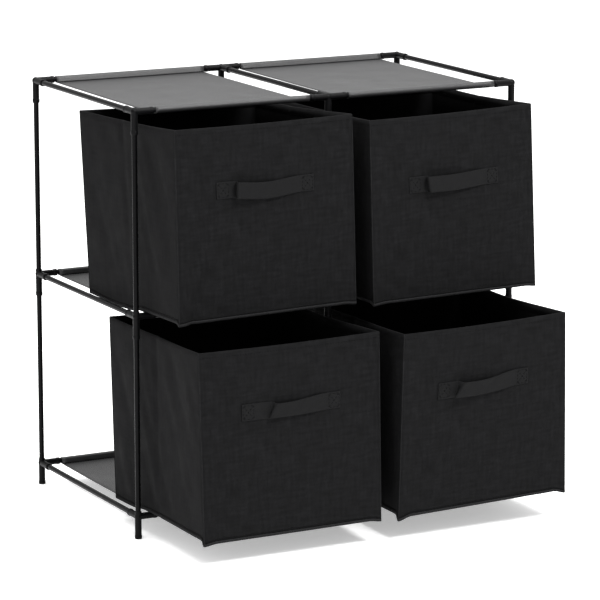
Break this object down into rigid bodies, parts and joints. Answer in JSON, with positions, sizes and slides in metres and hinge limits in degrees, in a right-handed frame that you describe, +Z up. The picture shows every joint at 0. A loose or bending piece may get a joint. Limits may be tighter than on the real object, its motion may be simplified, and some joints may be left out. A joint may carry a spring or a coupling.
{
  "type": "cube storage unit",
  "caption": "Free-standing tube-frame cube storage unit with stretched fabric shelves and pull-out foldable fabric bins with strap handles.",
  "frame": {"origin": "under the front centre foot, on the floor, between the two bays", "axes": "+X along the front to the right, +Y from the front to the rear, +Z up"},
  "size_m": [0.6472, 0.5789, 0.6456],
  "materials": {
    "tube_steel": "satin black powder coat",
    "connector_plastic": "black moulded plastic with a fine matt grain",
    "shelf_fabric": "charcoal non-woven fabric with a fine embossed grain",
    "bin_fabric": "black non-woven fabric with a fine embossed grain",
    "lining_fabric": "black non-woven lining",
    "stiffener_board": "grey-brown pressed board",
    "base_board_cover": "black non-woven cover over pressed board",
    "strap_fabric": "black folded non-woven strap with stitched ends"
  },
  "bodies": {
    "frame": {"post_front_left_lower": "tube_steel", "post_front_left_upper": "tube_steel", "post_front_centre_lower": "tube_steel", "post_front_centre_upper": "tube_steel", "post_front_right_lower": "tube_steel", "post_front_right_upper": "tube_steel", "post_rear_left_lower": "tube_steel", "post_rear_left_upper": "tube_steel", "post_rear_centre_lower": "tube_steel", "post_rear_centre_upper": "tube_steel", "post_rear_right_lower": "tube_steel", "post_rear_right_upper": "tube_steel", "rail_front_bottom_left": "tube_steel", "rail_front_bottom_right": "tube_steel", "rail_front_middle_left": "tube_steel", "rail_front_middle_right": "tube_steel", "rail_front_top_left": "tube_steel", "rail_front_top_right": "tube_steel", "rail_rear_bottom_left": "tube_steel", "rail_rear_bottom_right": "tube_steel", "rail_rear_middle_left": "tube_steel", "rail_rear_middle_right": "tube_steel", "rail_rear_top_left": "tube_steel", "rail_rear_top_right": "tube_steel", "side_tubes_bottom": "tube_steel", "side_tubes_middle": "tube_steel", "side_tubes_top": "tube_steel", "corner_connectors_bottom": "connector_plastic", "centre_connectors_bottom": "connector_plastic", "corner_connectors_middle": "connector_plastic", "centre_connectors_middle": "connector_plastic", "corner_connectors_top": "connector_plastic", "centre_connectors_top": "connector_plastic", "shelf_bottom_left": "shelf_fabric", "shelf_bottom_right": "shelf_fabric", "shelf_middle_left": "shelf_fabric", "shelf_middle_right": "shelf_fabric", "shelf_top_left": "shelf_fabric", "shelf_top_right": "shelf_fabric"},
    "bin_lower_left": {"bin_lower_left_outer_fabric": "bin_fabric", "bin_lower_left_lining": "lining_fabric", "bin_lower_left_wall_boards": "stiffener_board", "bin_lower_left_handle_strap": "strap_fabric"},
    "bin_lower_left_base": {"bin_lower_left_base_board": "base_board_cover"},
    "bin_lower_right": {"bin_lower_right_outer_fabric": "bin_fabric", "bin_lower_right_lining": "lining_fabric", "bin_lower_right_wall_boards": "stiffener_board", "bin_lower_right_handle_strap": "strap_fabric"},
    "bin_lower_right_base": {"bin_lower_right_base_board": "base_board_cover"},
    "bin_upper_left": {"bin_upper_left_outer_fabric": "bin_fabric", "bin_upper_left_lining": "lining_fabric", "bin_upper_left_wall_boards": "stiffener_board", "bin_upper_left_handle_strap": "strap_fabric"},
    "bin_upper_left_base": {"bin_upper_left_base_board": "base_board_cover"},
    "bin_upper_right": {"bin_upper_right_outer_fabric": "bin_fabric", "bin_upper_right_lining": "lining_fabric", "bin_upper_right_wall_boards": "stiffener_board", "bin_upper_right_handle_strap": "strap_fabric"},
    "bin_upper_right_base": {"bin_upper_right_base_board": "base_board_cover"}
  },
  "joints": [
    {"name": "bin_lower_left_slide", "type": "slide", "parent": "frame", "child": "bin_lower_left", "axis": [0, -0.9999, 0.0122], "range_m": [-0.18, 0.14]},
    {"name": "bin_lower_left_base_lift", "type": "hinge", "parent": "bin_lower_left", "child": "bin_lower_left_base", "pos_m": [-0.159, 0.10284, 0.04404], "axis": [-1, 0, 0], "range_deg": [0, 65]},
    {"name": "bin_lower_right_slide", "type": "slide", "parent": "frame", "child": "bin_lower_right", "axis": [0, -0.9999, 0.0122], "range_m": [-0.182, 0.138]},
    {"name": "bin_lower_right_base_lift", "type": "hinge", "parent": "bin_lower_right", "child": "bin_lower_right_base", "pos_m": [0.159, 0.10084, 0.04407], "axis": [-1, 0, 0], "range_deg": [0, 65]},
    {"name": "bin_upper_left_slide", "type": "slide", "parent": "frame", "child": "bin_upper_left", "axis": [0, -0.9997, 0.0262], "range_m": [-0.1, 0.2201]},
    {"name": "bin_upper_left_base_lift", "type": "hinge", "parent": "bin_upper_left", "child": "bin_upper_left_base", "pos_m": [-0.159, 0.18284, 0.34351], "axis": [-1, 0, 0], "range_deg": [0, 65]},
    {"name": "bin_upper_right_slide", "type": "slide", "parent": "frame", "child": "bin_upper_right", "axis": [0, -0.9997, 0.0262], "range_m": [-0.096, 0.2241]},
    {"name": "bin_upper_right_base_lift", "type": "hinge", "parent": "bin_upper_right", "child": "bin_upper_right_base", "pos_m": [0.159, 0.18684, 0.34341], "axis": [-1, 0, 0], "range_deg": [0, 65]}
  ]
}
